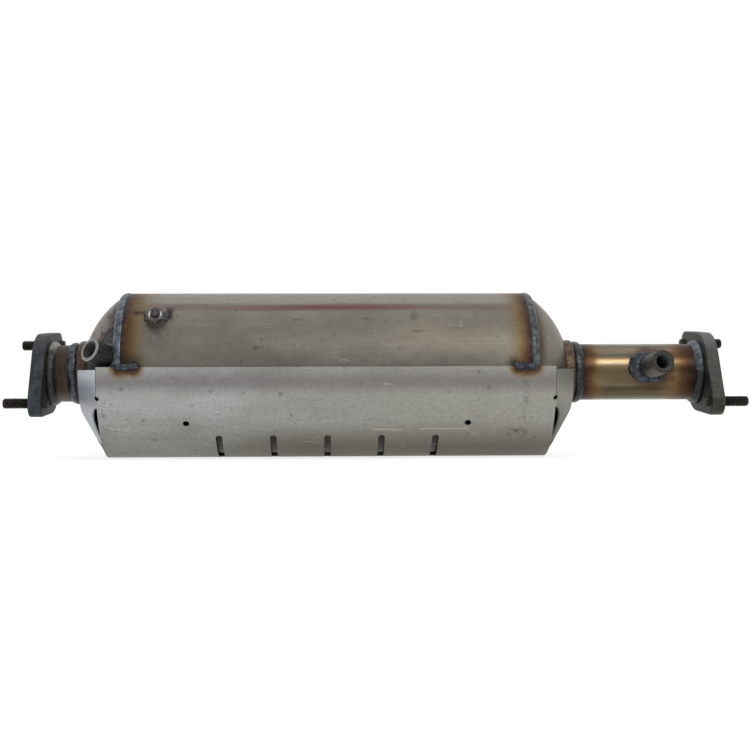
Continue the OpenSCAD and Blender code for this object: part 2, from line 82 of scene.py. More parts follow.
class Value:
    """A number or colour that varies over a surface. Arithmetic on it adds Math nodes."""

    def __init__(self, finish, socket):
        self.finish, self.socket = finish, socket

    def math(self, operation, *others):
        """The result of a Math node on this value and others."""
        inputs = dict(enumerate((self,) + others))
        return self.finish.node("ShaderNodeMath", {"operation": operation}, inputs)

    def __add__(self, other):
        return self.math("ADD", other)

    def __sub__(self, other):
        return self.math("SUBTRACT", other)

    def __rsub__(self, other):
        return self.finish.node("ShaderNodeMath", {"operation": "SUBTRACT"}, {0: other, 1: self})

    def __mul__(self, other):
        return self.math("MULTIPLY", other)

    def __truediv__(self, other):
        return self.math("DIVIDE", other)

    def __pow__(self, other):
        return self.math("POWER", other)

    __radd__ = __add__
    __rmul__ = __mul__

    def grow(self, low, high):
        """0 below low, 1 above high, smooth between; low may lie above high."""
        inputs = {"Value": self, "From Min": low, "From Max": high}
        return self.finish.node("ShaderNodeMapRange", {"interpolation_type": "SMOOTHSTEP"}, inputs)

    def near(self, middle, reach):
        """1 at the middle, fading to 0 at that reach on both sides."""
        return (self - middle).math("ABSOLUTE").grow(reach, 0.0)

    def span(self, low, high, soft):
        """1 between low and high, with edges that soft."""
        return self.grow(low - soft, low + soft) * self.grow(high + soft, high - soft)


class Finish:
    """One material. Its places are millimetres along and around the gas axis."""

    def __init__(self, name, **sockets):
        self.material = bpy.data.materials.new(name)
        self.material.use_nodes = True
        self.tree = self.material.node_tree
        self.shader = self.tree.nodes["Principled BSDF"]
        self.set(**sockets)
        spot = self.node("ShaderNodeTexCoord", take="Object")
        inputs = {0: spot, "Scale": 1 / MM}
        self.place = self.node("ShaderNodeVectorMath", {"operation": "SCALE"}, inputs)
        parts = self.node("ShaderNodeSeparateXYZ", {}, {0: self.place}, take=(0, 1, 2))
        self.x, self.y, self.z = parts
        self.r = (self.y * self.y + self.z * self.z) ** 0.5
        self.clock = self.z.math("ARCTAN2", 0.0 - self.y) * (180 / math.pi)

    def node(self, kind, settings=(), inputs=(), take=0):
        """Adds a node with its settings, then its sockets; returns the taken output or outputs."""
        made = self.tree.nodes.new(kind)
        for name, value in dict(settings).items():
            if name == "stops":
                ramp = made.color_ramp.elements
                while len(ramp) < len(value):
                    ramp.new(0.5)
                for element, (place, colour) in zip(ramp, value):
                    element.position, element.color = place, colour
            else:
                setattr(made, name, value)
        for key, value in dict(inputs).items():
            if isinstance(value, Value):
                self.tree.links.new(value.socket, made.inputs[key])
            else:
                made.inputs[key].default_value = value
        if isinstance(take, tuple):
            return tuple(Value(self, made.outputs[t]) for t in take)
        return Value(self, made.outputs[take])

    def set(self, **sockets):
        """Constants or values on the shader's own sockets, named with underscores."""
        for name, value in sockets.items():
            socket = self.shader.inputs[name.replace("_", " ")]
            if isinstance(value, Value):
                self.tree.links.new(value.socket, socket)
            else:
                socket.default_value = value

    def noise(self, size, detail=3.0, stretch=(1, 1, 1), shift=0.0):
        """Cloudy values around 0.5 with grains of that size, longer where stretched."""
        scale = [1 / (size * s) for s in stretch]
        inputs = {"Vector": self.place, "Location": (shift,) * 3, "Scale": scale}
        spot = self.node("ShaderNodeMapping", {}, inputs)
        return self.node("ShaderNodeTexNoise", {}, {"Vector": spot, "Scale": 1.0, "Detail": detail})

    def specks(self, size, share, stretch=(1, 1, 1)):
        """Small round marks in a share of cells of that size."""
        scale = [1 / (size * s) for s in stretch]
        spot = self.node("ShaderNodeMapping", {}, {"Vector": self.place, "Scale": scale})
        away, lot = self.node("ShaderNodeTexVoronoi", {}, {"Vector": spot, "Scale": 1.0}, take=(0, 1))
        lot = self.node("ShaderNodeSeparateColor", {}, {0: lot})
        return away.grow(0.34, 0.12) * lot.grow(1 - share - 0.02, 1 - share + 0.02)

    def scratches(self, size, width, stretch, shift=0.0):
        """Thin broken lines along the stretched direction."""
        line = self.noise(size, 1.0, stretch, shift)
        gaps = self.noise(size * 2.2, 2.0, tuple(0.4 * s + 0.6 for s in stretch), shift + 7.0)
        return (line - 0.5).math("ABSOLUTE").grow(width, 0.0) * gaps.grow(0.55, 0.68)

    def away(self, x, z, long=1.0, tall=1.0):
        """Distance from a place as seen from the side, in shares of a reach along and up."""
        return (((self.x - x) / long) ** 2.0 + ((self.z - z) / tall) ** 2.0) ** 0.5

    def vector(self, operation, *inputs, take="Value"):
        """Vector maths on places, such as a distance or the height along an axis."""
        settings = {"operation": operation}
        return self.node("ShaderNodeVectorMath", settings, dict(enumerate(inputs)), take)

    def facing(self):
        """The three parts of the direction that the surface faces."""
        normal = self.node("ShaderNodeNewGeometry", take="Normal")
        return self.node("ShaderNodeSeparateXYZ", {}, {0: normal}, take=(0, 1, 2))

    def mix(self, share, first, second):
        """First colour where the share is 0, second where it is 1."""
        inputs = {0: share, 6: first, 7: second}
        return self.node("ShaderNodeMix", {"data_type": "RGBA"}, inputs, take=2)

    def ramp(self, value, *stops):
        """Colour for a value from 0 to 1, through the stops."""
        return self.node("ShaderNodeValToRGB", {"stops": stops}, {0: value})

    def bump(self, height, depth, strength=0.6):
        """Relief of that depth in millimetres."""
        inputs = {"Height": height, "Distance": depth * MM, "Strength": strength}
        self.set(Normal=self.node("ShaderNodeBump", {}, inputs))

    def on(self, *objects):
        """Gives this material, and no other, to the objects."""
        for piece in objects:
            piece.data.materials.clear()
            piece.data.materials.append(self.material)


# Modelling helpers

def alone(piece):
    """Makes a piece the only one selected, and active."""
    bpy.ops.object.select_all(action="DESELECT")
    piece.select_set(True)
    bpy.context.view_layer.objects.active = piece
    return piece


def added(operator, **settings):
    """Runs an operator that adds an object, and returns that object."""
    bpy.ops.object.select_all(action="DESELECT")
    operator(**settings)
    return bpy.context.object


def joined(pieces):
    """Joins pieces into the first, with its place in its mesh."""
    bpy.ops.object.select_all(action="DESELECT")
    for piece in pieces:
        piece.select_set(True)
    bpy.context.view_layer.objects.active = pieces[0]
    if len(pieces) > 1:
        bpy.ops.object.join()
    bpy.ops.object.transform_apply(location=True, rotation=True, scale=True)
    return bpy.context.object


def edited(piece, *steps):
    """Runs edit-mode operators on the whole piece, each as (operator, settings)."""
    alone(piece)
    bpy.ops.object.mode_set(mode="EDIT")
    for operator, settings in steps:
        bpy.ops.mesh.select_all(action="SELECT")
        operator(**settings)
    bpy.ops.object.mode_set(mode="OBJECT")
    return piece


def modified(piece, kind, **settings):
    """Adds a modifier and applies it."""
    alone(piece)
    change = piece.modifiers.new(kind.lower(), kind)
    for name, value in settings.items():
        setattr(change, name, value)
    bpy.ops.object.modifier_apply(modifier=change.name)
    return piece


def carved(piece, tool, operation="DIFFERENCE"):
    """Cuts a piece with a tool, which is then thrown away."""
    modified(piece, "BOOLEAN", object=tool, operation=operation, solver="EXACT")
    bpy.data.objects.remove(tool)
    return piece


def outline(name, points, closed):
    """A line through points in millimetres, as the start of a turned piece."""
    mesh = bpy.data.meshes.new(name)
    links = [(i, i + 1) for i in range(len(points) - 1)]
    if closed:
        links.append((len(points) - 1, 0))
    mesh.from_pydata([[c * MM for c in p] for p in points], links, [])
    piece = bpy.data.objects.new(name, mesh)
    bpy.context.scene.collection.objects.link(piece)
    return piece


def stand(piece, foot, axis):
    """Puts a piece that was made along Z on a foot, with its height along an axis."""
    turn = axis.to_track_quat("Z", "Y").to_matrix().to_4x4()
    piece.data.transform(Matrix.Translation(foot * MM) @ turn)
    return piece


def turned(name, section, foot, axis, steps=72):
    """A closed section of (radius, height) turned about its axis."""
    piece = outline(name, [(r, 0, h) for r, h in section], True)
    whole = {"steps": steps, "angle": 2 * math.pi, "center": (0, 0, 0), "axis": (0, 0, 1)}
    edited(
        piece,
        (bpy.ops.mesh.spin, whole),
        (bpy.ops.mesh.remove_doubles, {"threshold": 1e-6}),
        (bpy.ops.mesh.normals_make_consistent, {"inside": False}),
    )
    return stand(piece, foot, axis)


def outward(clock):
    """The direction away from the gas axis at an angle from the front, over the top."""
    return Vector((0, -math.cos(clock), math.sin(clock)))


def rod(x, r, length, sides, aside=Vector((0, 0, 0))):
    """A round bar along the gas axis around a middle, or moved aside from the axis."""
    return added(
        bpy.ops.mesh.primitive_cylinder_add, vertices=sides, radius=r * MM, depth=length * MM,
        location=(Vector((x, 0, 0)) + aside) * MM, rotation=(0, math.pi / 2, 0),
    )


def swept(face, steps, angle):
    """Sweeps a flat face about the gas axis."""
    return edited(
        joined([face]),
        (bpy.ops.mesh.spin, {"steps": steps, "angle": angle, "center": (0, 0, 0), "axis": (1, 0, 0)}),
        (bpy.ops.mesh.normals_make_consistent, {"inside": False}),
    )


def stud_place(end, arm):
    """Where a stud's axis lies, seen along the gas axis."""
    return Vector((0, arm * math.cos(STUD_SLOPE[end]), arm * math.sin(STUD_SLOPE[end])))


def done(piece, name, slot, finish, *stands_for, sharp=35):
    """Names a finished piece, smooths it, and lets it ride on the part."""
    piece.name = piece.data.name = name
    alone(piece)
    bpy.ops.object.shade_smooth_by_angle(angle=math.radians(sharp))
    finish.on(piece)
    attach(piece, "root")
    if stands_for:
        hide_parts(*stands_for)
    return piece


# Weld beads: drops of metal laid one over the other, then fused

def around(x, r, count, half, wander=0.25, lean=0.0, tilt=0.0):
    """Stations of drops around the gas axis: place, travel, outward and half sizes."""
    stations = []
    for k in range(count):
        angle = 2 * math.pi * (k + chance.uniform(-0.2, 0.2)) / count
        out = outward(angle)
        along = Vector((0, math.sin(angle), math.cos(angle)))
        drift = x + chance.uniform(-1, 1) * wander - lean * out.z
        spot = out * (r + chance.uniform(-0.5, 0.2) * wander) + Vector((drift, 0, 0))
        tip = out * math.cos(tilt) + Vector((math.sin(tilt), 0, 0))
        stations.append((spot, along, tip, half))
    return stations


def straight(start, finish, count, out, half, wander=0.25):
    """Stations of drops along a line."""
    travel = (finish - start).normalized()
    side = out.cross(travel)
    stations = []
    for k in range(count):
        spot = start.lerp(finish, k / (count - 1)) + side * chance.uniform(-1, 1) * wander
        stations.append((spot, travel, out, half))
    return stations


def bead(stations, grain=0.6, lumps=0.35, ease=4):
    """Fuses the drops of all stations to one rippled bead."""
    drop = added(bpy.ops.mesh.primitive_uv_sphere_add, segments=14, ring_count=8, radius=1.0)
    drops = []
    for spot, along, out, half in stations:
        copy = drop.copy()
        copy.data = drop.data.copy()
        axes = (along, out.cross(along), out)
        copy.matrix_world = Matrix([
            [axes[c][r] * half[c] * MM for c in range(3)] + [spot[r] * MM] for r in range(3)
        ] + [[0, 0, 0, 1]])
        bpy.context.scene.collection.objects.link(copy)
        drops.append(copy)
    bpy.data.objects.remove(drop)
    piece = joined(drops)
    modified(piece, "REMESH", mode="VOXEL", voxel_size=grain * MM)
    cloud = bpy.data.textures.new("weld_lumps", "CLOUDS")
    cloud.noise_scale = 9 * MM
    modified(
        piece, "DISPLACE", texture=cloud, strength=lumps * MM, mid_level=0.6, texture_coords="LOCAL",
    )
    modified(piece, "SMOOTH", factor=0.5, iterations=ease)
    return piece


# Finishes

def weld_finish(name, dark, light, dark_where=None, spatter=0.0, darkening=(50, 72)):
    """Oxidised weld metal, slate with paler crests; a mask, if given, says where it turns near black.
    """
    f = Finish(name, Metallic=0.75)
    tone = f.noise(5.0, 3.0).grow(0.36, 0.66)
    colour = f.mix(tone, dark, light)
    scale = f.noise(11.0, 2.0, shift=3.0).grow(0.54, 0.72)
    colour = f.mix(scale * 0.25, colour, paint(40, 39, 40))
    colour = f.mix(f.specks(2.4, 0.4) * spatter, colour, paint(176, 178, 180))
    # Near black where the mask says: painted shade on the inlet root bead, and darker towards the
    # bottom on the outlet neck and root beads.
    if dark_where:
        black = f.mix(f.noise(3.0).grow(0.35, 0.7), *(paint(s, s, s) for s in darkening))
        colour = f.mix(dark_where(f), colour, black)
    f.set(Base_Color=colour, Roughness=0.32 + 0.22 * f.noise(2.4, 3.0))
    f.bump(f.noise(1.6, 3.0), 0.12, 0.5)
    return f


def can_finish():
    """Satin stainless can, tinted by heat beside its girth welds and marked by handling, with a painted
    highlight and reflection on its upper side and painted shade below its middle.
    """
    f = Finish("can_satin_steel", Metallic=0.85)
    grain = f.noise(1.1, 3.0, (30, 1, 1))
    cloud = f.noise(34.0, 3.0, (1.6, 1, 1))
    steel = f.mix(cloud.grow(0.3, 0.7), paint(112, 108, 102), paint(128, 123, 114))
    # Painted highlight: a warm, lighter band on the upper front, stronger to the right.
    steel = f.mix(f.x.grow(150, 460) * f.clock.span(8, 45, 12) * 0.4, steel, paint(134, 127, 109))
    # Painted reflection: the top of the can lighter.
    steel = f.mix(f.clock.span(58, 122, 3) * 0.7, steel, paint(150, 147, 139))
    steel = f.mix(grain.grow(0.3, 0.75) * 0.18, steel, paint(84, 81, 76))
    stripe = (f.clock + 4 * f.noise(40.0, 2.0, (3, 1, 1))).span(51.6, 58, 2.2)
    strength = 0.4 + 0.55 * f.x.span(215, 345, 60)
    steel = f.mix(stripe * strength, steel, paint(102, 64, 70))

    waver = 8 * (f.noise(15.0, 3.0) - 0.5)
    into = (f.x - GIRTH["inlet"] + waver) * (1.0 - 0.18 * f.clock.grow(30, 60))
    back = (GIRTH["outlet"] - f.x + waver) * 1.1
    depth = into.math("MINIMUM", back)
    heat = f.ramp(
        depth / 40,
        (0.08, paint(34, 31, 32)), (0.13, paint(56, 38, 35)), (0.22, paint(80, 54, 38)),
        (0.32, paint(100, 78, 50)), (0.46, paint(114, 97, 68)), (0.8, paint(120, 111, 93)),
    )
    colour = f.mix(depth.grow(36, 12), steel, heat)

    across = f.y * math.sin(NUT_CLOCK) + f.z * math.cos(NUT_CLOCK)
    ragged = across + 4 * f.noise(4.0)
    smear_left = (f.x + 5 * f.noise(5.0)).span(100, 113, 4) * ragged.span(9, 15, 3)
    smear_right = (f.x + 4 * f.noise(4.0, shift=2.0)).span(129, 136, 2.2) * ragged.span(3, 19, 4)
    # A darker greenish patch on the front of the can, under the nut.
    dark_patch = (f.x - 119).near(2.0, 16) * (across + 17).near(0.0, 15)
    dark_patch = dark_patch * f.noise(7.0, shift=5.0).grow(0.3, 0.7)
    front = f.y.grow(0, -20) * f.z.grow(-20, 10)
    colour = f.mix(dark_patch * front * 0.75, colour, paint(80, 80, 70))
    smear = (smear_left * 0.8).math("MAXIMUM", smear_right)
    colour = f.mix(smear * front, colour, paint(40, 34, 34))

    outlet_tack = (f.x - 456).math("ABSOLUTE").grow(13, 9) * (f.z + 4 * f.noise(3.0)).grow(13, 9)
    blot = (f.away(446, 8) + 8 * (f.noise(4.0) - 0.5)).grow(9, 1) * 0.95
    inlet_tack = (f.x + 8 * f.noise(5.0)).grow(116, 105) * (f.z + 7 * f.noise(4.0)).grow(24, 13)
    blackened = outlet_tack.math("MAXIMUM", blot).math("MAXIMUM", inlet_tack)
    colour = f.mix(blackened * f.y.grow(-40, -60) * 0.8, colour, paint(44, 38, 35))
    # Painted shade: the can below its middle, inside the shield, darkened.
    colour = f.mix(f.z.grow(3, -3), colour, paint(48, 44, 40))

    for x, z, long, tall in (
        (247, 49, 6, 1.6), (211, 23, 5, 3), (217, 23.5, 2, 1.6),
        (311, 50, 5, 1.6), (356, 52, 6, 6), (358, 38, 8, 2),
    ):
        rub = f.away(x, z, long, tall) + 1.2 * (f.noise(2.6, 3.0) - 0.5)
        colour = f.mix(rub.grow(1.0, 0.2) * f.y.grow(0, -10) * 0.5, colour, paint(70, 67, 62))
    mottle = f.noise(7.0, 4.0, shift=8.0).grow(0.4, 0.7)
    colour = f.mix(mottle * 0.2, colour, paint(90, 87, 80))
    colour = f.mix(f.specks(6.0, 0.05) * 0.45, colour, paint(74, 68, 62))
    colour = f.mix(f.scratches(9.0, 0.012, (6, 1, 1)) * 0.4, colour, paint(176, 170, 158))
    f.set(Base_Color=colour, Roughness=0.36 + 0.14 * cloud + 0.1 * grain)
    f.bump(grain + 0.6 * f.noise(5.0, 3.0), 0.05, 0.35)
    return f


def dome_finish(name, metal, burnt, neck, end, smudges, darkening):
    """Pressed dome, smudged, burnt at its girth weld and neck, near black around the inlet boss foot,
    with painted shade low behind the shield.
    """
    f = Finish(name, Metallic=0.85)
    cloud = f.noise(16.0, 4.0)
    steel = f.mix(cloud.grow(0.32, 0.68), *metal)
    out = (f.x - GIRTH[end]) * ENDS[end]
    waver = 4 * (f.noise(14.0, 3.0) - 0.5)
    steel = f.mix((out + waver).grow(13, 4) * 0.9, steel, burnt)
    heated = f.mix(f.noise(3.0, 3.0).grow(0.3, 0.7), *neck)
    steel = f.mix((f.r + waver).grow(46, 33), steel, heated)
    smear = f.noise(8.0, 4.0, (0.7, 1, 1), 4.0).grow(0.58, 0.68) * smudges
    for x, z, reach in ((75, 53, 5.5), (79, 58, 5), (78, 38, 6), (70, 36, 5), (82, 46, 4.5)):
        ragged = f.away(x, z, 1.0, 0.6742) + 8 * (f.noise(4.0, 3.0) - 0.5)
        spot = ragged.grow(reach, reach - 2.5) * f.y.grow(0, -10)
        smear = smear.math("MAXIMUM", spot * darkening)
    steel = f.mix(smear * 0.9, steel, paint(46, 39, 39))
    # A near-black patch around the inlet boss foot.
    reach = f.vector("DISTANCE", f.place, tuple(INLET_BOSS[0]))
    blackened = (reach + 12 * (f.noise(6.0, 3.0) - 0.5)).grow(31, 20) * darkening
    black = f.mix(f.noise(2.2, 3.0).grow(0.4, 0.7), paint(42, 42, 43), paint(78, 78, 80))
    steel = f.mix(blackened * 0.95, steel, black)
    # Painted shade: the dome below its middle, outside its neck, near black behind the shield.
    low = f.z.grow(2.5, 0.0)
    steel = f.mix(low * f.r.grow(36, 42), steel, paint(20, 19, 18))
    f.set(Base_Color=steel, Roughness=0.34 + 0.18 * cloud + 0.3 * low)
    f.bump(f.noise(2.4, 4.0), 0.06, 0.4)
    return f


def inlet_pipe_finish():
    """Pipe burnt to a dark red-brown, streaked around, with a painted highlight on its underside,
    darker towards the flange from burning and painted shade, and with soot in its bore.
    """
    f = Finish("inlet_pipe_burnt", Metallic=0.7)
    streak = f.noise(1.6, 3.0, (1, 9, 9))
    colour = f.mix(streak.grow(0.2, 0.84), paint(44, 36, 32), paint(80, 65, 55))
    # Painted highlight: the underside paler.
    colour = f.mix(f.z.grow(-15, -25) * 0.6, colour, paint(108, 101, 97))
    # Darker towards the flange: partly burnt, partly painted shade.
    colour = f.mix(f.x.grow(24, 17), colour, paint(40, 37, 35))
    colour = f.mix(f.r.grow(*PIPE_BORE), colour, paint(26, 25, 25))
    f.set(Base_Color=colour, Roughness=0.4 + 0.2 * streak)
    f.bump(streak, 0.06, 0.4)
    return f


def outlet_pipe_finish():
    """Bright tube with straw and brown heat colours in long bands, painted highlight and shade bands at
    fixed heights along it, and soot in its bore.
    """
    f = Finish("outlet_pipe_straw", Metallic=0.95)
    band = f.noise(7.0, 2.0, (14, 1, 1))
    fine = f.noise(1.0, 2.0, (26, 1, 1))
    colour = f.mix(band.grow(0.34, 0.66), paint(118, 106, 84), paint(92, 82, 63))
    # Painted reflection: the top half greyer.
    colour = f.mix(f.clock.span(20, 160, 12) * 0.6, colour, paint(112, 105, 96))
    colour = f.mix(fine.grow(0.45, 0.75) * 0.35, colour, paint(72, 58, 42))
    # Painted highlight and shade in bands by height: a straw-coloured highlight line, a lighter band
    # below it, a dark reflection band low on the front, and a darker underside.
    height = f.z + 3 * band
    colour = f.mix(height.near(13.2, 3.4) * 0.7, colour, paint(142, 117, 75))
    colour = f.mix(height.near(5.5, 5) * 0.6, colour, paint(160, 141, 104))
    colour = f.mix(height.near(-14.5, 4.5) * 0.75, colour, paint(56, 49, 36))
    colour = f.mix(f.z.grow(-16, -22) * 0.6, colour, paint(76, 70, 52))

    waver = 12 * (f.noise(9.0, 3.0) - 0.5)
    before = (BACK["outlet"] - f.x + waver) * 0.7
    cold = (f.x - LIP["outlet"] + waver).math("MINIMUM", before)
    heat = f.ramp(
        cold / 45,
        (0.08, paint(44, 34, 30)), (0.2, paint(56, 40, 30)),
        (0.34, paint(86, 63, 42)), (0.6, paint(126, 102, 64)),
    )
    colour = f.mix(cold.grow(30, 15), colour, heat)
    scorched = (f.away(585.0, 4) + waver).grow(27, 16) * f.y.grow(0, -8)
    colour = f.mix(scorched * 0.8, colour, paint(66, 47, 35))
    bore = f.r.grow(*PIPE_BORE)
    colour = f.mix(bore, colour, paint(28, 27, 26))
    rough = 0.2 + 0.1 * band + 0.16 * cold.grow(28, 12) + bore * 0.4
    f.set(Base_Color=colour, Roughness=rough)
    f.bump(fine, 0.02, 0.25)
    return f


def shield_finish():
    """Dull stamped sheet: rolling grain, scuffs, pits at its left edge, tint under the tacks; painted
    reflection bands on its sides, painted light on its end plates, painted shade underneath and on its
    inner faces.
    """
    f = Finish("shield_dull_sheet")
    cloud = f.noise(30.0, 4.0, (1.8, 1, 1))
    fine = f.noise(0.9, 3.0, (16, 1, 1))
    mottle = f.noise(3.2, 4.0)
    fall = f.z.math("ARCTAN2", f.y.math("ABSOLUTE")) * (180 / math.pi)
    sheet = f.mix(cloud.grow(0.3, 0.7), paint(152, 152, 148), paint(172, 173, 170))
    sheet = f.mix(f.x.grow(180, 380) * 0.75, sheet, paint(158, 156, 148))
    sheet = f.mix(mottle.grow(0.42, 0.72) * 0.3, sheet, paint(128, 127, 122))
    sheet = f.mix(fine.grow(0.4, 0.8) * 0.22, sheet, paint(118, 116, 110))
    # Painted reflection: a darker band just below the middle of each side.
    sheet = f.mix(fall.span(-11, -1, 5) * 0.6, sheet, paint(112, 106, 106))
    # Underside olive and darker, more to the right: tint with painted shade.
    belly = fall.grow(-28, -62) * (0.32 + 0.62 * f.x.grow(120, 260))
    sheet = f.mix(belly, sheet, paint(108, 104, 90))
    # Painted reflection: a paler band low on each side, stronger to the left.
    shine = fall.span(-30, -14, 8) * 0.35 * f.x.grow(260, 90)
    sheet = f.mix(shine, sheet, paint(196, 198, 196))

    edge = (f.x + 14 * (f.noise(9.0) - 0.5)).grow(96, 74) * fall.span(-52, -14, 8)
    pits = f.specks(2.6, 0.6).math("MAXIMUM", f.specks(1.7, 0.5)) * edge
    sheet = f.mix(pits * 0.85, sheet, paint(72, 72, 70))
    sheet = f.mix(f.specks(9.0, 0.1) * 0.5, sheet, paint(98, 94, 88))
    upright = f.scratches(6.0, 0.01, (1, 3, 3), 11.0) * 0.6
    light = f.scratches(7.0, 0.012, (9, 1, 1)).math("MAXIMUM", upright)
    sheet = f.mix(light * 0.45, sheet, paint(208, 207, 202))
    for low, high, turn in ((317, 344, -40.5), (361, 407, -40.0)):
        wander = f.clock + 0.8 * (f.noise(12.0, 2.0) - 0.5)
        line = f.x.span(low, high, 3) * wander.near(turn, 0.5)
        sheet = f.mix(line * 0.7, sheet, paint(216, 214, 204))
    dark_patch = (f.x + 3 * f.noise(9.0)).near(458, 3.5) * f.clock.span(-33, -4, 4)
    dark_patch = dark_patch * f.noise(4.0, 3.0, shift=6.0).grow(0.35, 0.65)
    sheet = f.mix(dark_patch * 0.45, sheet, paint(84, 82, 78))
    marks = f.x.near(450, 16) * f.clock.near(-43, 5)
    marks = marks * f.noise(2.4, 4.0, (2.5, 1, 1), 5.0).grow(0.42, 0.54)
    sheet = f.mix(marks * 0.9, sheet, paint(70, 67, 62))
    scuff = f.noise(5.0, 4.0, (2.2, 1, 1), 9.0).grow(0.62, 0.74)
    scuff = scuff * f.noise(60.0, 2.0, shift=2.0).grow(0.5, 0.62)
    sheet = f.mix(scuff * 0.5, sheet, paint(84, 82, 78))

    waver = 5 * (f.noise(6.0, 3.0) - 0.5)
    tack = (f.x - 94.5).math("ABSOLUTE").math("MINIMUM", (f.x - 457).math("ABSOLUTE"))
    down = f.z - SHIELD_EDGE + 1
    reach = ((tack - 7).math("MAXIMUM", 0.0) ** 2.0 + down * down) ** 0.5 + waver
    tint = f.ramp(
        reach / 16,
        (0.15, paint(52, 44, 40)), (0.36, paint(104, 78, 52)),
        (0.55, paint(140, 116, 82)), (0.85, paint(150, 143, 130)),
    )
    sheet = f.mix(reach.grow(12, 5), sheet, tint)

    # Left end plate: bright silver with painted light, palest at the top and bluish lower down.
    left = f.x.grow(67.6, 66.6)
    silver = f.mix(f.z.grow(-26, -8), paint(186, 191, 197), paint(184, 197, 214))
    silver = f.mix(f.z.grow(-14, 0), silver, paint(243, 248, 254))
    sheet = f.mix(left, sheet, silver)
    # Right end plate: grey with painted light and shade, darkest at the bottom.
    right = f.x.grow(483.9, 484.9)
    grey = f.ramp(
        (f.z + 70) / 80,
        (0.2, paint(84, 83, 74)), (0.38, paint(116, 115, 106)),
        (0.62, paint(156, 156, 147)), (0.92, paint(130, 131, 124)),
    )
    sheet = f.mix(right, sheet, grey)
    # Painted shade: the inner faces near black.
    _, depth, rise = f.facing()
    inner = (depth * f.y + rise * f.z).grow(-2, -6)
    sheet = f.mix(inner, sheet, paint(26, 25, 24))
    rough = 0.42 + 0.14 * cloud + 0.12 * mottle - 0.14 * left
    f.set(Base_Color=sheet, Roughness=rough, Metallic=0.8 - 0.6 * left - 0.3 * right)
    f.bump(fine + 0.8 * mottle - 1.4 * pits, 0.06, 0.4)
    return f


def flange_finish(name, dark, light, darkening, painted_top_light):
    """Cut and forged plate, dark and rough, darker on its back face, with a painted highlight on its
    upward faces.
    """
    f = Finish(name, Metallic=0.7)
    cloud = f.noise(7.0, 4.0)
    colour = f.mix(cloud.grow(0.34, 0.68), dark, light)
    patch = f.noise(2.0, 4.0, shift=3.0).grow(0.58, 0.72)
    colour = f.mix(patch * 0.6, colour, paint(34, 32, 30))
    # The inlet flange's back face darker.
    inlet_back = f.x.span(BACK["inlet"] - 0.6, 300, 0.4)
    colour = f.mix(inlet_back * darkening, colour, paint(58, 58, 58))
    # The outlet flange's back face darker towards the bottom.
    outlet_back = f.x.span(BACK["outlet"] - 0.5, BACK["outlet"] + 0.4, 0.2)
    lower = (f.z + 6 * f.noise(6.0)).grow(6, -4)
    colour = f.mix(outlet_back * lower * 0.8, colour, paint(38, 38, 36))
    # Painted highlight: upward faces paler.
    colour = f.mix(f.facing()[2].grow(0.3, 0.9) * painted_top_light, colour, paint(112, 112, 110))
    f.set(Base_Color=colour, Roughness=0.5 + 0.2 * cloud)
    f.bump(f.noise(1.6, 4.0), 0.16, 0.6)
    return f


def stud_finish():
    """Black oxide, worn to brown."""
    f = Finish("stud_black_oxide", Metallic=0.7)
    cloud = f.noise(2.2, 3.0)
    colour = f.mix(cloud.grow(0.35, 0.7), paint(45, 43, 41), paint(72, 66, 60))
    f.set(Base_Color=colour, Roughness=0.46 + 0.2 * cloud)
    f.bump(f.noise(0.7, 3.0), 0.05, 0.5)
    return f


def boss_finish(name, body, ring, foot, axis, length, bore):
    """Turned boss: dark scaled body, machined mouth ring and a black bore."""
    f = Finish(name, Metallic=0.8)
    inner = f.vector("SUBTRACT", f.place, tuple(foot), take="Vector")
    height = f.vector("DOT_PRODUCT", inner, tuple(axis))
    span = f.vector("LENGTH", inner)
    away = (span * span - height * height) ** 0.5
    cloud = f.noise(3.0, 4.0)
    colour = f.mix(cloud.grow(0.34, 0.7), *body)
    mouth = height.grow(length - MOUTH_RING, length - MOUTH_RING + 0.4)
    colour = f.mix(mouth, colour, f.mix(f.noise(1.2, 3.0).grow(0.3, 0.7), *ring))
    colour = f.mix(away.grow(*BOSS_BORE), colour, bore)
    f.set(Base_Color=colour, Roughness=0.42 + 0.2 * cloud)
    f.bump(f.noise(1.1, 3.0), 0.08, 0.5)
    return f


def nut_finish():
    """Bare steel, with a painted highlight on its countersink at the sides of its hole."""
    f = Finish("nut_bare_steel", Metallic=0.85)
    cloud = f.noise(2.4, 3.0)
    colour = f.mix(cloud.grow(0.35, 0.7), paint(72, 68, 66), paint(112, 106, 104))
    up = f.z * math.sin(NUT_CLOCK) - f.y * math.cos(NUT_CLOCK)
    colour = f.mix(up.grow(84.0, 79.0) * 0.8, colour, paint(150, 147, 143))
    # Painted highlight: the countersink paler at the left and right of the hole.
    across = f.y * math.sin(NUT_CLOCK) + f.z * math.cos(NUT_CLOCK)
    away = ((f.x - NUT_X) ** 2.0 + across * across) ** 0.5
    ends = (f.x - NUT_X).math("ABSOLUTE").grow(4.0, 4.9)
    colour = f.mix(away.grow(6.3, 5.7) * up.grow(82, 84) * ends, colour, paint(204, 199, 197))
    f.set(Base_Color=colour, Roughness=0.3 + 0.2 * cloud)
    f.bump(f.noise(0.9, 3.0), 0.04, 0.4)
    return f


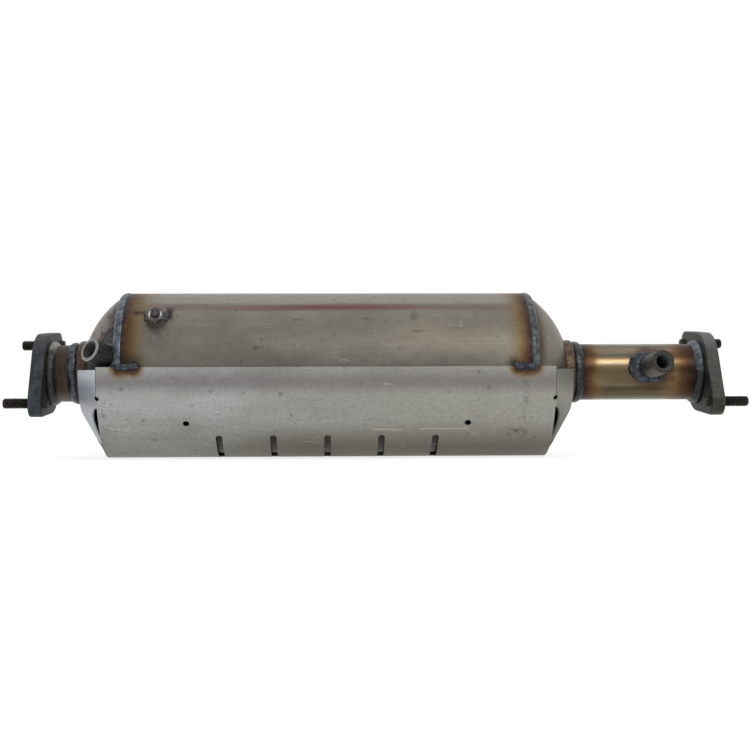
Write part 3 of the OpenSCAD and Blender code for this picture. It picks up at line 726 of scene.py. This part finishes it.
def ceramic_finish():
    """Filter segments with cells that are plugged in a chequer, and cement joints."""
    f = Finish("filter_ceramic_cells", Metallic=0.0, Roughness=0.85)
    cell = 1.8
    chequer = f.node(
        "ShaderNodeTexChecker", {},
        {"Vector": f.place, "Color1": (1, 1, 1, 1), "Color2": (0, 0, 0, 1), "Scale": 1 / cell}, take=1,
    )
    wall_y = ((f.y / cell).math("FRACT") - 0.5).math("ABSOLUTE")
    wall_z = ((f.z / cell).math("FRACT") - 0.5).math("ABSOLUTE")
    wall = wall_y.math("MAXIMUM", wall_z).grow(0.36, 0.42)
    colour = f.mix(chequer, paint(58, 55, 52), paint(150, 145, 136))
    colour = f.mix(wall, colour, paint(168, 162, 150))
    colour = f.mix(f.noise(20.0, 3.0).grow(0.4, 0.7) * 0.4, colour, paint(70, 66, 62))
    f.set(Base_Color=colour)
    f.bump(wall + chequer * 0.6, 0.5, 0.8)
    return f


def mat_finish():
    """Pale fibre mat."""
    f = Finish("support_mat_fibre", Metallic=0.0, Roughness=0.95)
    fibre = f.noise(0.8, 4.0, (6, 1, 1))
    f.set(Base_Color=f.mix(fibre.grow(0.3, 0.7), paint(196, 190, 176), paint(232, 228, 218)))
    f.bump(fibre, 0.4, 0.8)
    return f


def mesh_finish():
    """Knitted wire, as loops along and around."""
    f = Finish("seal_knitted_wire", Metallic=0.9)
    knit = (f.x * 4.0).math("SINE") * (f.clock * 3.0).math("SINE")
    colour = f.mix(knit.grow(-0.6, 0.6), paint(72, 72, 72), paint(150, 150, 148))
    f.set(Base_Color=colour, Roughness=0.45 + 0.1 * f.noise(2.0))
    f.bump(knit, 0.3, 0.8)
    return f


# Finishes of the CAD pieces that stay as they are
can_finish().on(nodes["can_shell"])
dome_finish(
    "inlet_dome_smudged", (paint(102, 93, 90), paint(128, 118, 113)), paint(70, 52, 48),
    (paint(62, 50, 46), paint(92, 73, 65)), "inlet", smudges=1.0, darkening=1.0,
).on(nodes["inlet_dome"])
dome_finish(
    "outlet_dome_tan", (paint(112, 108, 97), paint(130, 125, 112)), paint(74, 58, 46),
    (paint(66, 50, 38), paint(100, 84, 68)), "outlet", smudges=0.2, darkening=0.0,
).on(nodes["outlet_dome"])
inlet_pipe_finish().on(nodes["inlet_pipe"])
outlet_pipe_finish().on(nodes["outlet_pipe"])
ceramic_finish().on(nodes["filter_monolith"])
mat_finish().on(nodes["support_mat"])
mesh_finish().on(nodes["inlet_mat_seal"], nodes["outlet_mat_seal"])

# Finishes of the weld beads
slate = weld_finish("weld_slate_blue", paint(68, 73, 81), paint(106, 115, 126))
charcoal = weld_finish("weld_charcoal", paint(42, 45, 49), paint(72, 78, 86), spatter=0.15)
spattered = weld_finish("weld_spattered", paint(44, 42, 42), paint(92, 92, 94), spatter=0.9)
girth_metal = {
    "inlet": slate,
    "outlet": weld_finish("weld_grey", paint(62, 65, 67), paint(98, 103, 106)),
}
neck_metal = {
    "inlet": weld_finish("weld_inlet_neck", paint(50, 54, 58), paint(84, 90, 97)),
    # Outlet neck bead: near black towards the bottom.
    "outlet": weld_finish(
        "weld_outlet_neck", paint(46, 48, 49), paint(74, 78, 82),
        lambda f: (f.z + 8 * f.noise(6.0)).grow(-2, -10) * 0.8, darkening=(36, 54),
    ),
}
root_metal = {
    # Inlet root bead: a painted highlight keeps its top pale, and painted shade turns the rest near
    # black.
    "inlet": weld_finish(
        "weld_inlet_root", paint(96, 94, 89), paint(140, 138, 131),
        lambda f: (f.clock + 20 * f.noise(6.0)).grow(70, 52),
    ),
    # Outlet root bead: near black towards the bottom.
    "outlet": weld_finish(
        "weld_outlet_root", paint(68, 72, 79), paint(104, 110, 119),
        lambda f: (f.z + 6 * f.noise(5.0)).grow(7, 2), darkening=(34, 54),
    ),
}

# Girth, neck and flange beads around the gas axis
neck_lean = {"inlet": 1.2, "outlet": 0.0}
for end, side in ENDS.items():
    drops = around(
        GIRTH[end] - side * 0.3, 73.9, 150, (5.6, 4.6, 2.9), wander=0.2, tilt=side * 0.38,
    )
    ring = bead(drops, grain=0.7, lumps=0.2, ease=7)
    done(ring, f"{end}_girth_bead", "weld_metal", girth_metal[end], f"{end}_girth_weld")
    drops = around(
        LIP[end] + side * 4.2, 26.3, 44, (5.4, 5.3, 2.9),
        wander=0.3, lean=neck_lean[end], tilt=side * 0.42,
    )
    ring = bead(drops, grain=0.6, lumps=0.4, ease=6)
    done(ring, f"{end}_neck_bead", "weld_metal", neck_metal[end], f"{end}_neck_weld")
    drops = around(
        BACK[end] - side * 3.5, 27.3, 44, (5.4, 5.3, 3.1), wander=0.3, tilt=side * -0.5,
    )
    ring = bead(drops, grain=0.6, lumps=0.4, ease=6)
    done(ring, f"{end}_flange_bead", "weld_metal", root_metal[end], f"{end}_flange_weld")

# Seam of the can at the rear, and the tacks that hold the shield
seam_out = outward(SEAM_CLOCK)
seam_ends = [Vector((x, 0, 0)) + seam_out * SEAM_R for x in SEAM_ENDS]
seam = bead(straight(*seam_ends, 118, seam_out, (3.0, 2.2, 1.7), wander=0.2), grain=0.6, lumps=0.25)
done(seam, "can_seam_bead", "weld_metal", slate, "can_seam_weld")
tacks = []
for face in (-1, 1):
    for start, finish, rise, sway in ((86.2, 103.0, 1.6, 0.4), (448.2, 465.4, -1.6, 1.1)):
        tacks += straight(
            Vector((start, face * TACK_OUT, SHIELD_EDGE - rise / 2)),
            Vector((finish, face * TACK_OUT, SHIELD_EDGE + rise / 2)),
            7, Vector((0, face, 0)), (3.2, 3.3, 3.4), sway,
        )
tacks = bead(tacks, grain=0.5, lumps=0.4)
done(tacks, "shield_tack_beads", "weld_metal", charcoal, "shield_tack_welds")

# Heat shield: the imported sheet, with the openings along its folds cut to their full width
shield = bpy.data.objects.new("shield", nodes["heat_shield"].data.copy())
bpy.context.scene.collection.objects.link(shield)
alone(shield)
bpy.ops.mesh.customdata_custom_splitnormals_clear()
edited(shield, (bpy.ops.mesh.remove_doubles, {"threshold": 1e-6}))
for end, side in ENDS.items():
    middle = FOLD[end] + side * (FOLD_GAP + PLATE_DEPTH / 2)
    for clock in CRESCENT_CLOCKS:
        aside = outward(math.radians(-clock)) * CRESCENT_OUT
        carved(shield, rod(middle, CRESCENT_R, PLATE_DEPTH, 72, aside))
    for face in (-1, 1):
        place = (middle * MM, face * SLIT_OUT * MM, 0)
        slit = added(bpy.ops.mesh.primitive_plane_add, size=1.0, location=place)
        slit.scale = (PLATE_DEPTH * MM, SLIT_WIDE * MM, 1.0)
        swept(slit, 12, 2 * SLIT_END)
        slit.data.transform(Matrix.Rotation(SLIT_END, 4, "X"))
        carved(shield, slit)
        relief = added(
            bpy.ops.mesh.primitive_cylinder_add, vertices=40, radius=RELIEF_R * MM, depth=14 * MM,
        )
        out = Vector((0, face * math.cos(SLIT_END), -math.sin(SLIT_END)))
        carved(shield, stand(relief, Vector((FOLD[end], 0, 0)) + out * SLIT_OUT, out))

# Webs under the belly, where the vent slots of the front and the rear end
webs = []
for x in VENTS:
    web = added(
        bpy.ops.mesh.primitive_plane_add,
        size=1.0, location=(x * MM, 0, -WEB_OUT * MM), rotation=(math.pi / 2, 0, 0),
    )
    web.scale = (VENT_WIDE * MM, WEB_THICK * MM, 1.0)
    webs.append(swept(web, 8, -WEB_TURN))
shield = joined([shield] + webs)
done(shield, "heat_shield_vented", "shield_sheet", shield_finish(), "heat_shield", sharp=30)

# Flanges with eased edges
flange_metal = {
    "inlet": flange_finish(
        "inlet_flange_dark", paint(44, 47, 51), paint(68, 72, 77), darkening=0.9, painted_top_light=0.2,
    ),
    "outlet": flange_finish(
        "outlet_flange_olive", paint(46, 45, 40), paint(73, 71, 64), darkening=0.0, painted_top_light=0.8,
    ),
}
for end, side in ENDS.items():
    middle = BACK[end] + side * FLANGE_T / 2
    plate = edited(
        joined([
            rod(middle, radius, FLANGE_T, 96, stud_place(end, arm))
            for arm, radius in ((0.0, HUB_R), (STUD_ARM[end], EAR_R), (-STUD_ARM[end], EAR_R))
        ]),
        (bpy.ops.mesh.convex_hull, {}),
        (bpy.ops.mesh.dissolve_limited, {"angle_limit": math.radians(1)}),
    )
    modified(
        plate, "BEVEL", width=1.3 * MM, segments=3, limit_method="ANGLE", angle_limit=math.radians(50),
    )
    carved(plate, rod(middle, FLANGE_BORE_R, 3 * FLANGE_T, 96))
    done(plate, f"{end}_flange_plate", "flange_steel", flange_metal[end], f"{end}_flange")


# Studs: a screwed thread with its point in front, a plain shank in the flange, a stub behind
def thread(start, length, place):
    """A threaded rod along X, screwed from a line of teeth and cut off square at both ends."""
    pitch, crest, root = 1.5, 4.95, 4.1
    turns = int(length / pitch) + 4
    teeth = []
    for k in range(turns):
        teeth += [(start + (k - 2) * pitch, 0, root), (start + (k - 1.5) * pitch, 0, crest)]
    screw = modified(
        outline("thread", teeth, False), "SCREW",
        axis="X", angle=2 * math.pi, screw_offset=pitch * MM, iterations=1, steps=32, render_steps=32,
        use_merge_vertices=True, merge_threshold=1e-6,
    )
    cuts = [
        (bpy.ops.mesh.bisect, {
            "plane_co": (x * MM, 0, 0), "plane_no": (way, 0, 0), "use_fill": True, "clear_outer": True,
        })
        for x, way in ((start, -1), (start + length, 1))
    ]
    edited(screw, *cuts, (bpy.ops.mesh.normals_make_consistent, {"inside": False}))
    screw.data.transform(Matrix.Translation(place * MM))
    return screw


shank = [
    (0, 0.2), (5.0, 0.2), (5.6, 0.6), (5.6, FLANGE_T - 0.6), (5.0, FLANGE_T - 0.2), (0, FLANGE_T - 0.2),
]
point = [(0, 0), (4.1, 0), (4.1, 0.6), (3.5, STUD_POINT), (0, STUD_POINT)]
stub_len = STUD_TAIL + 0.1
stub = [(0, 0), (4.9, 0), (4.9, stub_len - 0.7), (4.2, stub_len), (0, stub_len)]
stud_black = stud_finish()
for end, side in ENDS.items():
    way = Vector((side, 0, 0))
    root = FACE[end] + side * (STUD_REACH - STUD_POINT)
    tail = FACE[end] - side * (FLANGE_T + STUD_TAIL)
    parts = []
    for arm in (-STUD_ARM[end], STUD_ARM[end]):
        place = stud_place(end, arm)
        parts += [
            thread(min(FACE[end], root), STUD_REACH - STUD_POINT, place),
            turned("shank", shank, place + Vector((BACK[end], 0, 0)), way, 40),
            turned("point", point, place + Vector((root, 0, 0)), way, 40),
            turned("stub", stub, place + Vector((tail + side * stub_len, 0, 0)), -way, 40),
        ]
    done(joined(parts), f"{end}_stud_pair", "stud_steel", stud_black, f"{end}_studs")


# Pressure bosses with a faced mouth and an inner thread
def boss(foot, axis, start, length):
    """A tube along an axis, from a start to its mouth, with the thread cut in its bore."""
    crest, valley, half_pitch = 6.25, 6.95, 0.75
    section = [
        (BOSS_R, start), (BOSS_R, length - 0.9), (10.9, length - 0.3), (10.3, length),
        (8.3, length), (6.9, length - 0.8),
    ]
    depth = length - 0.8
    while depth > start + 1.6:
        depth -= half_pitch
        section += [(crest, depth), (valley, depth - half_pitch)]
        depth -= half_pitch
    section.append((6.3, start))
    return turned("boss", section, foot, axis, 80)


def boss_bead(foot, axis, ground, count, reach, half, flare=0.0):
    """Stations of drops around a boss, each let down onto the surface that it stands on."""
    side = axis.cross(Vector((0, 0, 1))).normalized()
    other = axis.cross(side)
    stations = []
    for k in range(count):
        angle = 2 * math.pi * (k + chance.uniform(-0.25, 0.25)) / count
        spread = side * math.cos(angle) + other * math.sin(angle)
        wide = max(0.0, -spread.x) * flare
        spot = ground(foot + spread * (reach + wide / 2 + chance.uniform(-0.6, 0.4)))
        size = (half[0] + wide / 4, half[1] + wide / 2, half[2] + wide / 8)
        stations.append((spot, axis.cross(spread), (axis + spread * 0.5).normalized(), size))
    return stations


def on_crown(place):
    """The spot on the inlet dome under a place."""
    return INLET_CROWN + (place - INLET_CROWN).normalized() * CROWN_R


def on_pipe(place):
    """The spot just above the outlet pipe's surface under a place."""
    out = Vector((0, place.y, place.z)).normalized()
    return Vector((place.x, 0, 0)) + out * (PIPE_R + 0.6)


foot, axis = INLET_BOSS
finish = boss_finish(
    "inlet_boss_scaled", (paint(34, 33, 32), paint(56, 54, 51)),
    (paint(124, 126, 126), paint(152, 155, 156)), foot, axis, INLET_BOSS_SPAN[1], paint(56, 56, 56),
)
tube = boss(foot, axis, *INLET_BOSS_SPAN)
done(tube, "inlet_boss_turned", "boss_steel", finish, "inlet_pressure_boss")
drops = boss_bead(foot, axis, on_crown, 26, 12.2, (2.6, 2.2, 1.9))
for _ in range(14):
    away = foot + Vector((chance.uniform(2, 12), 0, chance.uniform(-14, 18)))
    out = (away - INLET_CROWN).normalized()
    along = out.cross(Vector((0, 0, 1))).normalized()
    drops.append((on_crown(away), along, out, (chance.uniform(0.7, 1.5),) * 3))
ring = bead(drops, grain=0.45, lumps=0.5)
done(ring, "inlet_boss_bead", "weld_metal", spattered, "inlet_boss_weld")

foot, axis = OUTLET_BOSS
finish = boss_finish(
    "outlet_boss_brown", (paint(76, 75, 72), paint(108, 106, 100)),
    (paint(50, 46, 39), paint(74, 68, 58)), foot, axis, OUTLET_BOSS_SPAN[1], paint(64, 66, 69),
)
tube = boss(foot, axis, *OUTLET_BOSS_SPAN)
done(tube, "outlet_boss_turned", "boss_steel", finish, "outlet_pressure_boss")
drops = boss_bead(foot + axis * 29, axis, on_pipe, 26, 13.2, (3.8, 3.8, 3.0), flare=6.0)
stray = Vector((594.5, -27.0, -6.2))
drops.append((stray, Vector((1, 0, 0)), Vector((0, -1, 0)), (2.0, 2.0, 2.4)))
ring = bead(drops, grain=0.45, lumps=0.4, ease=7)
done(ring, "outlet_boss_bead", "weld_metal", charcoal, "outlet_boss_weld")

# Bracket nut with eased corners, a countersunk thread and its two weld blobs
origin, height = Vector((0, 0, 0)), Vector((0, 0, 1))
nut = joined([added(
    bpy.ops.mesh.primitive_cylinder_add, vertices=6, radius=NUT_WIDE / math.sqrt(3) * MM,
    depth=NUT_TALL * MM, location=(0, 0, NUT_TALL / 2 * MM),
)])
bun = [(0, -1), (11, -1), (11, 7.0), (8.2, NUT_TALL), (0, NUT_TALL)]
carved(nut, turned("bun", bun, origin, height, 64), "INTERSECT")
pitch, crest, root = 1.25, 4.3, 5.0
drill = [(0, -2), (crest, -2)]
for k in range(7):
    drill += [(crest, 0.4 + pitch * k), (root, 1.0 + pitch * k)]
drill += [(4.6, 9.7), (5.3, 10.3), (5.3, 11.5), (0, 11.5)]
carved(nut, turned("drill", drill, origin, height, 48))
modified(
    nut, "BEVEL", width=0.3 * MM, segments=2, limit_method="ANGLE", angle_limit=math.radians(35),
)
nut_out = outward(NUT_CLOCK)
nut_foot = Vector((NUT_X, 0, 0)) + nut_out * (CAN_R - NUT_SUNK)
across = Vector((1, 0, 0))
upright = nut_out.cross(across)
nut.data.transform(Matrix([
    [across[r], upright[r], nut_out[r], nut_foot[r] * MM] for r in range(3)
] + [[0, 0, 0, 1]]))
edited(nut, (bpy.ops.mesh.normals_make_consistent, {"inside": False}))
done(nut, "bracket_nut_threaded", "nut_steel", nut_finish(), "bracket_nut")
blob_foot = outward(NUT_CLOCK + math.radians(2.0)) * (CAN_R + 0.4)
blobs = []
for side in (-1, 1):
    for k in range(3):
        beside = Vector((NUT_X + side * (8.4 + 0.5 * k), 0, 0))
        blobs.append((beside + blob_foot + upright * (k - 1) * 2.2, upright, nut_out, (2.6, 2.3, 2.4)))
blobs = bead(blobs, grain=0.4, lumps=0.4)
done(blobs, "bracket_nut_blobs", "weld_metal", charcoal, "bracket_nut_welds")


# Studio: pale floor and surround, soft lamps, and the photograph's viewpoint
def pale(tree, output, lit, glow):
    """Adds a glow that the camera and mirror-like surfaces see to what lights the part."""
    path = tree.nodes.new("ShaderNodeLightPath")
    seen = path.outputs["Is Camera Ray"]
    for kind in ("Is Glossy Ray", "Is Transmission Ray"):
        either = tree.nodes.new("ShaderNodeMath")
        either.operation = "MAXIMUM"
        tree.links.new(seen, either.inputs[0])
        tree.links.new(path.outputs[kind], either.inputs[1])
        seen = either.outputs[0]
    blend = tree.nodes.new("ShaderNodeMixShader")
    tree.links.new(seen, blend.inputs[0])
    tree.links.new(lit, blend.inputs[1])
    tree.links.new(glow, blend.inputs[2])
    tree.links.new(blend.outputs[0], output)


floor = added(bpy.ops.mesh.primitive_plane_add, size=24.0, location=(0.3, 0, FLOOR * MM))
floor.name = "studio_floor"
ground = bpy.data.materials.new("studio_floor_pale")
ground.use_nodes = True
tree = ground.node_tree
matt = tree.nodes["Principled BSDF"]
matt.inputs["Base Color"].default_value = (0.4, 0.4, 0.395, 1)
matt.inputs["Roughness"].default_value = 0.9
matt.inputs["Specular IOR Level"].default_value = 0.0
glow = tree.nodes.new("ShaderNodeEmission")
glow.inputs["Strength"].default_value = 0.78
both = tree.nodes.new("ShaderNodeAddShader")
tree.links.new(matt.outputs[0], both.inputs[0])
tree.links.new(glow.outputs[0], both.inputs[1])
pale(tree, tree.nodes["Material Output"].inputs["Surface"], matt.outputs[0], both.outputs[0])
floor.data.materials.append(ground)

world = bpy.data.worlds.new("studio_surround")
bpy.context.scene.world = world
world.use_nodes = True
tree = world.node_tree
ambient = tree.nodes["Background"]
ambient.inputs["Color"].default_value = (1, 1, 1, 1)
ambient.inputs["Strength"].default_value = 0.6
white = tree.nodes.new("ShaderNodeBackground")
white.inputs["Color"].default_value = (1, 1, 1, 1)
pale(tree, tree.nodes["World Output"].inputs["Surface"], ambient.outputs[0], white.outputs[0])


def card(name, place, turn, width, height, glow):
    """A grey card that the part mirrors and the camera doesn't see."""
    piece = added(bpy.ops.mesh.primitive_plane_add, size=1.0, location=place, rotation=(turn, 0, 0))
    piece.name = name
    piece.scale = (width, height, 1.0)
    piece.visible_camera = piece.visible_shadow = False
    grey = bpy.data.materials.new(name + "_grey")
    grey.use_nodes = True
    shader = grey.node_tree.nodes["Principled BSDF"]
    shader.inputs["Base Color"].default_value = (0, 0, 0, 1)
    shader.inputs["Specular IOR Level"].default_value = 0.0
    shader.inputs["Emission Color"].default_value = (1, 1, 1, 1)
    shader.inputs["Emission Strength"].default_value = glow
    piece.data.materials.append(grey)


card("front_card", (0.3, -3.2, 0.9), math.pi / 2, 8.0, 2.2, 0.45)
card("ceiling_card", (0.3, -0.6, 2.7), 0.0, 8.0, 5.4, 0.8)


def lamp(name, place, target, width, height, power):
    """A soft lamp that looks at a target and isn't seen itself."""
    light = bpy.data.lights.new(name, "AREA")
    light.shape, light.size, light.size_y, light.energy = "RECTANGLE", width, height, power
    piece = bpy.data.objects.new(name, light)
    bpy.context.scene.collection.objects.link(piece)
    piece.location = place
    piece.rotation_euler = (Vector(target) - Vector(place)).to_track_quat("-Z", "Y").to_euler()
    piece.visible_camera = False


lamp("key_softbox", (1.12, -1.46, 1.36), (0.55, 0, 0), 0.9, 0.55, 11)
lamp("top_softbox", (0.3, 0.3, 2.2), (0.3, 0, 0), 2.6, 1.4, 7)
lamp("side_softbox", (-1.5, -1.0, 0.15), (0.05, 0, 0), 1.3, 1.1, 3.2)

camera = bpy.data.cameras.new("photo_view")
camera.lens, camera.sensor_width = 64.965, 36.0
eye = bpy.data.objects.new("photo_view", camera)
bpy.context.scene.collection.objects.link(eye)
spot = Vector((275.885, -1306.141, -1.437)) * MM
yaw, pitch, roll = (math.radians(a) for a in (2.011, -0.0386, -0.1778))
level = Vector((math.cos(yaw), -math.sin(yaw), 0))
ahead = Vector((math.sin(yaw), math.cos(yaw), 0)) * math.cos(pitch) + Vector((0, 0, math.sin(pitch)))
plumb = level.cross(ahead)
right = level * math.cos(roll) + plumb * math.sin(roll)
upward = plumb * math.cos(roll) - level * math.sin(roll)
eye.matrix_world = Matrix([
    [right[r], upward[r], -ahead[r], spot[r]] for r in range(3)
] + [[0, 0, 0, 1]])
bpy.context.scene.camera = eye
bpy.context.scene.view_settings.view_transform = "Standard"
